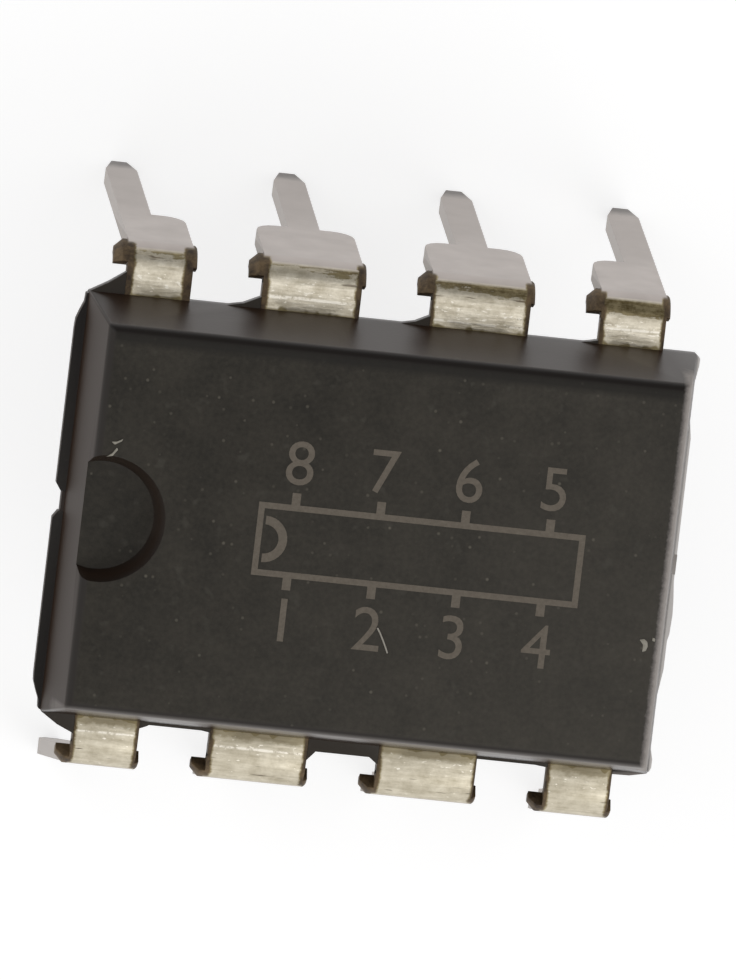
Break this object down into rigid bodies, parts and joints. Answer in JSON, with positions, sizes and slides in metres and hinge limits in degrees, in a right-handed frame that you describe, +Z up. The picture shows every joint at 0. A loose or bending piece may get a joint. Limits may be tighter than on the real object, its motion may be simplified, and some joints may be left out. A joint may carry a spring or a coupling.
{
  "type": "dip integrated circuit chip",
  "caption": "Black moulded dual in-line chip package with a half-round notch at one end and two rows of splayed tin-plated leads bent down from its sides.",
  "frame": {"origin": "on the plane of the lead tips that the chip stands on, midway between the two rows of leads and midway along the moulded body", "axes": "+Z up through the top face, +X along the body away from the notch, +Y towards the row of leads 5 to 8"},
  "size_m": [0.0094, 0.0092, 0.007],
  "materials": {
    "moulded_resin": "black epoxy moulding compound, fine matt grain on the top and smoother drafted walls",
    "tin_plated_lead": "warm tin plating with fine rolling lines, oxide brown at the sheared edges",
    "lead_frame_copper": "bare rolled copper alloy",
    "silver_adhesive": "silver-filled die adhesive, cured",
    "silicon": "polished silicon with a passivated face",
    "bond_gold": "drawn gold wire, bright"
  },
  "bodies": {
    "root": {"package_body": "moulded_resin", "lead_1": "tin_plated_lead", "lead_2": "tin_plated_lead", "lead_3": "tin_plated_lead", "lead_4": "tin_plated_lead", "lead_5": "tin_plated_lead", "lead_6": "tin_plated_lead", "lead_7": "tin_plated_lead", "lead_8": "tin_plated_lead", "die_paddle": "lead_frame_copper", "die_attach": "silver_adhesive", "silicon_die": "silicon", "bond_wire_1": "bond_gold", "bond_wire_2": "bond_gold", "bond_wire_3": "bond_gold", "bond_wire_4": "bond_gold", "bond_wire_5": "bond_gold", "bond_wire_6": "bond_gold", "bond_wire_7": "bond_gold", "bond_wire_8": "bond_gold"}
  },
  "joints": []
}
